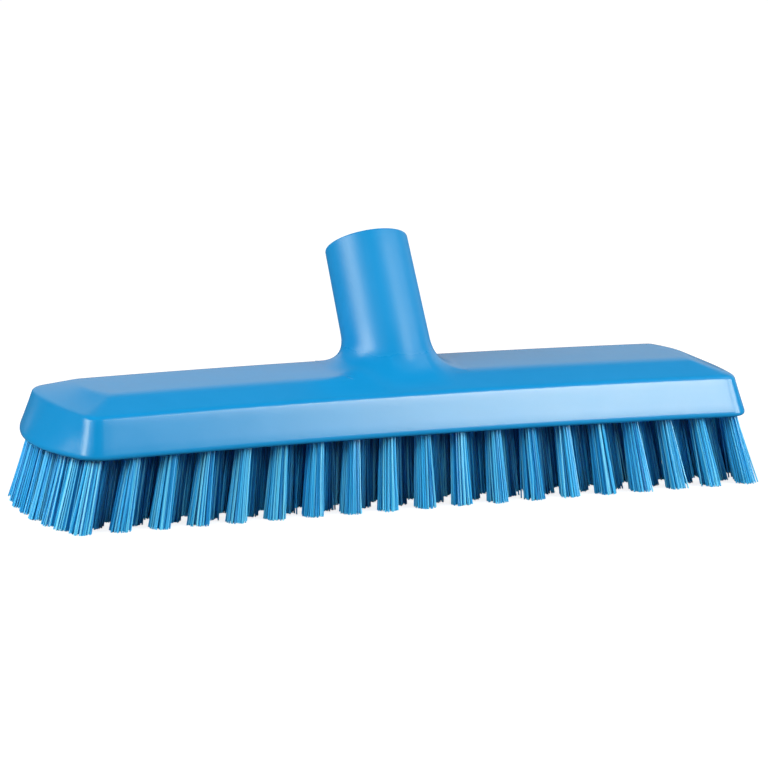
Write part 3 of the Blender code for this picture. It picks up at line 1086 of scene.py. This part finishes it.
@dataclass
class Tufts:
    """Tufts of filament, built strand by strand.

    Attributes:
        layout: Where the tufts stand.
        strands: Strands in a tuft.
        strand_radius: Radius of a strand.
        strand_sides: Sides of a strand.
        strand_lengths: Straight lengths that a bent strand is made of.
        foot_radius: Radius of a tuft at the block.
        tip_radius: Radius of a tuft at the floor.
        waist: How far the strands bend inwards halfway.
        hole_depth: How far the strands reach into the block.
        hole_lean: Share of its lean that a strand keeps there.
        ragged: How unequal the strands' lengths are.
        clumps: Places in a tuft that tips gather round.
        clumping: How much they gather.
        spot_jitter: Disorder of the strands' places in a tuft of radius 1.
        tip_jitter: Disorder of their tips.
        bow_jitter: Disorder of their bends.
        stray_share: Share of strands that stand out of the tuft.
        stray_reach: How far out they stand, from least to most.
        tone: Middle tone of the strands and how far they spread round it.
        seed: Start of the random draws.
        template: The plain strand that each strand is bent from.
    """

    layout: TuftLayout
    strands: int = 80
    strand_radius: float = 0.28 * MM
    strand_sides: int = 5
    strand_lengths: int = 4
    foot_radius: float = 2.7 * MM
    tip_radius: float = 3.8 * MM
    waist: float = 0.1 * MM
    hole_depth: float = 4.0 * MM
    hole_lean: float = 0.4
    ragged: float = 0.5 * MM
    clumps: int = 7
    clumping: float = 0.1
    spot_jitter: float = 0.04
    tip_jitter: float = 0.08 * MM
    bow_jitter: float = 0.08 * MM
    stray_share: float = 0.04
    stray_reach: tuple[float, float] = (0.3 * MM, 1.5 * MM)
    tone: tuple[float, float] = (0.58, 0.3)
    seed: int = 11
    template: bpy.types.Mesh = field(init=False)

    def __post_init__(self) -> None:
        """Makes the plain strand, of radius 1 and length 1."""
        strand = bmesh.new()
        bmesh.ops.create_cone(
            strand,
            cap_ends=True,
            segments=self.strand_sides,
            radius1=1,
            radius2=1,
            depth=1,
            matrix=Matrix.Translation((0, 0, 0.5)),
        )
        for height in steps(0, 1, self.strand_lengths)[1:-1]:
            split(strand, (0, 0, height), (0, 0, 1))
        self.template = as_mesh(strand, "strand")

    def spots(self, chance: random.Random) -> Pairs:
        """Places of the strands in a tuft of radius 1.

        Args:
            chance: Source of chance.

        Returns:
            The places, packed evenly with a little disorder.
        """
        golden = math.pi * (3 - math.sqrt(5))
        jitter = self.spot_jitter
        turn = chance.uniform(0, 2 * math.pi)
        found = []
        for k in range(self.strands):
            radius = math.sqrt((k + 0.5) / self.strands)
            angle = turn + golden * k
            u = radius * math.cos(angle) + chance.uniform(-jitter, jitter)
            v = radius * math.sin(angle) + chance.uniform(-jitter, jitter)
            found.append((u, v))
        return found

    @staticmethod
    def inside(point: Vector) -> Vector:
        """Point moved into the box of the CAD model."""
        low, high = CAD_BOX
        return Vector(min(max(p, a), b) for p, a, b in zip(point, low, high))

    def add_tuft(self, target: BMesh, foot: tuple[float, float], chance: random.Random) -> None:
        """Adds the strands of one tuft.

        Args:
            target: Mesh that they go into.
            foot: Where the tuft leaves the block, from the block's middle.
            chance: Source of chance.
        """
        base = self.layout.block.under(*foot)
        tip = self.layout.tip(*foot)
        clumps = [
            Vector((chance.uniform(-1, 1), chance.uniform(-1, 1), 0)) for _ in range(self.clumps)
        ]
        tone_layer = target.verts.layers.float["tone"]
        reach_layer = target.verts.layers.float["reach"]
        for place in self.spots(chance):
            spot = Vector((*place, 0))
            near = min(clumps, key=lambda clump: (clump - spot).length_squared)
            spread = spot.lerp(near, self.clumping) * self.tip_radius
            spread += Vector((chance.gauss(0, self.tip_jitter), chance.gauss(0, self.tip_jitter), 0))
            if chance.random() < self.stray_share:
                spread += spot.normalized() * chance.uniform(*self.stray_reach)
            end = tip + spread
            end.z = chance.random() ** 2 * self.ragged
            start = base + spot * self.foot_radius
            lean = (end - start) / base.z
            root = start - lean * self.hole_depth * self.hole_lean
            root.z = base.z + self.hole_depth
            bow = Vector((chance.gauss(0, self.bow_jitter), chance.gauss(0, self.bow_jitter), 0))
            bow -= spot * self.waist
            tone = min(1.0, max(0.0, chance.gauss(*self.tone)))
            turn = Matrix.Rotation(chance.uniform(0, 2 * math.pi), 3, "Z")
            first = len(target.verts)
            target.from_mesh(self.template)
            target.verts.ensure_lookup_table()
            for vert in target.verts[first:]:
                t = vert.co.z
                ring = turn @ Vector((vert.co.x, vert.co.y, 0))
                middle = root.lerp(end, t) + bow * (4 * t * (1 - t))
                vert.co = self.inside(middle + ring * self.strand_radius)
                vert[tone_layer] = tone
                vert[reach_layer] = t

    def build(self, name: str, places: Pairs, finish: Material) -> Object:
        """Builds the tufts of one group and puts them in the place of its CAD node.

        Args:
            name: Name of the group.
            places: Feet of its tufts.
            finish: Material of the filament.

        Returns:
            The piece.
        """
        chance = random.Random(f"{self.seed} {name}")
        shape = bmesh.new()
        shape.verts.layers.float.new("tone")
        shape.verts.layers.float.new("reach")
        for place in places:
            self.add_tuft(shape, place, chance)
        piece = finished(shape, f"tufts_{name}", finish, sharp=50)
        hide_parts(f"bristle_{name}")
        return piece


@dataclass
class BrushBlock:
    """The moulded block with its socket, thread, water way and tuft holes."""

    shape: BlockShape
    socket: Socket
    way: WaterWay
    layout: TuftLayout
    hole_radius: float = 3.0 * MM
    hole_depth: float = 3.2 * MM
    hole_sides: int = 20

    def tuft_holes(self) -> BMesh:
        """Cutter of the holes that the tufts stand in.

        Returns:
            The cutter.
        """
        drills = bmesh.new()
        for places in self.layout.groups().values():
            for place in places:
                bmesh.ops.create_cone(
                    drills,
                    cap_ends=True,
                    segments=self.hole_sides,
                    radius1=self.hole_radius,
                    radius2=self.hole_radius,
                    depth=2 * self.hole_depth,
                    matrix=Matrix.Translation(self.shape.under(*place)),
                )
        return drills

    def build(self, finish: Material) -> list[Object]:
        """Builds the block and its thread.

        Args:
            finish: Material of the moulding.

        Returns:
            The pieces.
        """
        length, width = self.way.channel_half_length, self.way.channel_half_width
        ledge = self.way.strip_ledge + self.way.play
        cutters = [
            self.socket.bore(),
            self.socket.passage(self.way.roof),
            self.shape.bar(length, width, -PAST, self.way.roof),
            self.shape.bar(length + ledge, width + ledge, -PAST, self.way.seat),
            self.tuft_holes(),
        ]
        tools = [("UNION", self.socket.outside())] + [("DIFFERENCE", cutter) for cutter in cutters]
        body = combined(self.shape.shell(), tools)
        block = finished(body, "moulded_block", finish, sharp=32)
        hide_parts("brush_block")
        ridge = SocketThread(self.socket).ridge()
        return [block, finished(ridge, "socket_thread", finish, sharp=40)]


@dataclass
class WaterFittings:
    """The outlet strip under the block and the washer in the socket."""

    shape: BlockShape
    socket: Socket
    way: WaterWay
    layout: TuftLayout
    outlets: int = 9
    tufts_per_outlet: int = 2
    outlet_radius: float = 1.8 * MM
    outlet_sides: int = 32
    countersink: float = 0.5 * MM
    washer_thickness: float = 2.0 * MM
    washer_hole_radius: float = 6.0 * MM
    washer_edge: float = 0.3 * MM
    washer_sides: int = 72

    def build_strip(self, finish: Material) -> Object:
        """Builds the strip with its countersunk outlets.

        Args:
            finish: Material of the strip.

        Returns:
            The piece.
        """
        thickness, ledge = self.way.strip_thickness, self.way.strip_ledge
        radius, top, below = self.outlet_radius, 2 * thickness, 1 * MM
        flare = radius + self.countersink + below
        profile = [(0, -below), (flare, -below), (radius, self.countersink), (radius, top), (0, top)]
        drills = bmesh.new()
        for k in range(self.outlets):
            x = (k - self.outlets // 2) * self.tufts_per_outlet * self.layout.pitch
            place = Matrix.Translation(self.shape.under(x, 0))
            drill = as_mesh(moved(turned(profile, self.outlet_sides), place), "drill")
            drills.from_mesh(drill)
            bpy.data.meshes.remove(drill)
        length = self.way.channel_half_length + ledge
        bar = self.shape.bar(length, self.way.channel_half_width + ledge, 0, thickness)
        cut = combined(bar, [("DIFFERENCE", drills)])
        strip = finished(cut, "water_strip", finish, sharp=32)
        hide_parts("outlet_strip")
        return strip

    def build_washer(self, finish: Material) -> Object:
        """Builds the washer with rounded edges.

        Args:
            finish: Rubber.

        Returns:
            The piece.
        """
        low, edge = self.way.play, self.washer_edge
        high = low + self.washer_thickness
        inner, outer = self.washer_hole_radius, self.socket.bore_radius - self.way.play
        upper = [(inner, high - edge), (inner + edge, high), (outer - edge, high), (outer, high - edge)]
        lower = [(outer, low + edge), (outer - edge, low), (inner + edge, low), (inner, low + edge)]
        washer = turned(upper + lower + upper[:1], self.washer_sides)
        moved(washer, leaning(self.socket.floor, self.socket.lean))
        piece = finished(washer, "sealing_washer", finish, sharp=50)
        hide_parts("socket_washer")
        return piece


# The studio


@dataclass
class Lamp:
    """A soft studio lamp.

    Attributes:
        name: Name of the lamp.
        azimuth: Degrees to the right of the front, as seen from above.
        elevation: Degrees above the floor.
        size: Width and height in metres.
        watts: Its power.
        mirrored: Whether it shows in reflections.
        diffuse: Whether it lights surfaces, or only shows in reflections.
        distance: How far it hangs from its target.
    """

    name: str
    azimuth: float
    elevation: float
    size: tuple[float, float]
    watts: float
    mirrored: bool = True
    diffuse: bool = True
    distance: float = 1.3

    def build(self, target: Vector) -> None:
        """Hangs the lamp and turns it to the target.

        Args:
            target: Point that it faces.
        """
        light = bpy.data.lights.new(self.name, "AREA")
        light.shape = "RECTANGLE"
        light.size, light.size_y = self.size
        light.energy = self.watts
        lamp = placed(self.name, light)
        round_z = math.radians(self.azimuth)
        up = math.radians(self.elevation)
        flat = math.cos(up)
        away = Vector((math.sin(round_z) * flat, -math.cos(round_z) * flat, math.sin(up)))
        lamp.location = target + away * self.distance
        lamp.rotation_euler = (-away).to_track_quat("-Z", "Y").to_euler()
        lamp.visible_glossy = self.mirrored
        lamp.visible_diffuse = self.diffuse


@dataclass
class Studio:
    """Camera, lamps, floor and the pale surroundings.

    The wall is the part of the world that shows in reflections. Its pairs are places on the
    world's sphere between which it fades in or out. The floor fades between two distances,
    and its pairs of colours are those near the brush and further out.
    """

    target: Point = (-2.331 * MM, -1.1816 * MM, 38.103 * MM)
    distance: float = 1519.191 * MM
    yaw: float = 0.439
    pitch: float = 0.200
    roll: float = 0.029
    focal_pixels: float = 4316.503
    frame_pixels: float = 768.0
    sensor: float = 36.0
    nearest_seen: float = 0.05
    lamp_target: Point = (0.0, 0.0, 40.0 * MM)
    wall_light: float = 0.6
    wall_foot: tuple[float, float] = (0.0, 0.03)
    wall_top: tuple[float, float] = (0.42, 0.6)
    share_above_wall: float = 0.2
    wall_front: tuple[float, float] = (0.2, 0.3)
    wall_left: tuple[float, float] = (-0.19, -0.11)
    floor_radius: float = 1.9
    floor_sides: int = 96
    floor_drop: float = 0.05 * MM
    floor_fade: tuple[float, float] = (0.2, 0.5)
    floor_colours: tuple[Colour, Colour] = ((0.3, 0.3, 0.3), (0.1, 0.1, 0.1))
    floor_glow: tuple[Colour, Colour] = ((0.84, 0.84, 0.84), WHITE)
    floor_unseen: Colour = (0.1, 0.105, 0.11)
    floor_roughness: float = 0.9

    def camera(self) -> None:
        """Places the camera at the photograph's angle."""
        flat = math.cos(self.pitch)
        ahead = Vector((math.sin(self.yaw) * flat, math.cos(self.yaw) * flat, -math.sin(self.pitch)))
        right = Vector((math.cos(self.yaw), -math.sin(self.yaw), 0))
        up = right.cross(ahead)
        turned_right = right * math.cos(self.roll) + up * math.sin(self.roll)
        turned_up = up * math.cos(self.roll) - right * math.sin(self.roll)
        data = bpy.data.cameras.new("camera")
        data.sensor_width = self.sensor
        data.lens = self.focal_pixels / self.frame_pixels * self.sensor
        data.clip_start = self.nearest_seen
        camera = placed("camera", data)
        camera.location = Vector(self.target) - ahead * self.distance
        camera.rotation_euler = Matrix((turned_right, turned_up, -ahead)).transposed().to_euler()
        bpy.context.scene.camera = camera

    def lamps(self) -> None:
        """Hangs the soft lamps."""
        for lamp in (
            Lamp("right_box", 34, 27, (0.4, 0.5), 6.9),
            Lamp("right_wing", 42, 27, (0.5, 0.5), 2.8),
            Lamp("low_right_box", 60, 12, (0.5, 0.6), 8.7),
            Lamp("side_fill", 80, 42, (0.6, 0.6), 1.1),
            Lamp("high_box", 35, 55, (0.8, 0.6), 0.5),
            Lamp("edge_glint", 29, 37, (0.45, 0.08), 2.6, diffuse=False),
            Lamp("left_box", -87, 24, (0.45, 0.7), 6.6),
            Lamp("left_wash", -84, 25, (1.1, 0.7), 4.2, diffuse=False),
            Lamp("left_wing", -110, 27, (0.5, 0.6), 3.6),
            Lamp("left_fill", -60, 38, (0.8, 0.6), 9.4, mirrored=False),
            Lamp("back_box", 160, 22, (0.9, 0.6), 2.6, mirrored=False),
            Lamp("back_left_box", -150, 22, (0.9, 0.6), 2.0, mirrored=False),
        ):
            lamp.build(Vector(self.lamp_target))

    def surroundings(self) -> None:
        """Makes the world: white to the camera, and a pale wall that shows in reflections."""
        world = bpy.data.worlds.new("studio")
        world.use_nodes = True
        bpy.context.scene.world = world
        build = NodeBuilder(world.node_tree)
        direction = build.axes("Generated")
        light = build.add("ShaderNodeLightPath", {}).outputs["Is Glossy Ray"]
        for axis, where, values in (
            ("Z", self.wall_foot, (0.0, self.wall_light)),
            ("Z", self.wall_top, (1.0, self.share_above_wall)),
            ("Y", self.wall_front, (0.0, 1.0)),
            ("X", self.wall_left, (0.0, 1.0)),
        ):
            light = build.math("MULTIPLY", light, build.range(direction[axis], *where, *values))
        inputs = {"Strength": build.math("MAXIMUM", light, build.seen()), "Color": WHITE}
        build.feed(world.node_tree.nodes["Background"], inputs)

    def floor(self) -> None:
        """Lays the pale floor, which keeps a soft shadow of the brush."""
        made = bpy.data.materials.new("pale_floor")
        made.use_nodes = True
        build = NodeBuilder(made.node_tree)
        place = {0: build.coordinates("Object")}
        away = build.add("ShaderNodeVectorMath", place, operation="LENGTH").outputs["Value"]
        fade = build.range(away, *self.floor_fade)
        seen = build.seen()
        inputs = {
            "Base Color": build.mix(seen, self.floor_unseen, build.mix(fade, *self.floor_colours)),
            "Emission Color": build.mix(seen, BLACK, build.mix(fade, *self.floor_glow)),
            "Emission Strength": 1.0,
            "Roughness": self.floor_roughness,
            "Specular IOR Level": 0.0,
        }
        build.feed(made.node_tree.nodes["Principled BSDF"], inputs)
        sheet = bmesh.new()
        bmesh.ops.create_circle(
            sheet, cap_ends=True, segments=self.floor_sides, radius=self.floor_radius
        )
        floor = placed("floor", as_mesh(sheet, "floor"))
        floor.data.materials.append(made)
        floor.location = (0, 0, -self.floor_drop)


def main() -> None:
    """Builds the brush in its studio and reports each piece."""
    logging.basicConfig(level=logging.INFO, format="%(message)s")
    bpy.context.scene.view_settings.view_transform = "Standard"

    surface = moulded_surface_group()
    finishes = (MOULDED_BLUE, STRIP_BLUE, SEAL_RUBBER, BLUE_FILAMENT)
    blue, strip_blue, rubber, filament = (finish.build(surface) for finish in finishes)

    shape = BlockShape()
    socket = Socket(shape)
    way = WaterWay()
    layout = TuftLayout(shape)
    fittings = WaterFittings(shape, socket, way, layout)
    made = BrushBlock(shape, socket, way, layout).build(blue)
    made.append(fittings.build_strip(strip_blue))
    made.append(fittings.build_washer(rubber))
    tufts = Tufts(layout)
    for name, places in layout.groups().items():
        made.append(tufts.build(name, places, filament))
    bpy.data.meshes.remove(tufts.template)
    for piece in made:
        LOG.info("%s: %d faces", piece.name, len(piece.data.polygons))

    studio = Studio()
    studio.camera()
    studio.lamps()
    studio.surroundings()
    studio.floor()


if __name__ == "__main__":
    main()
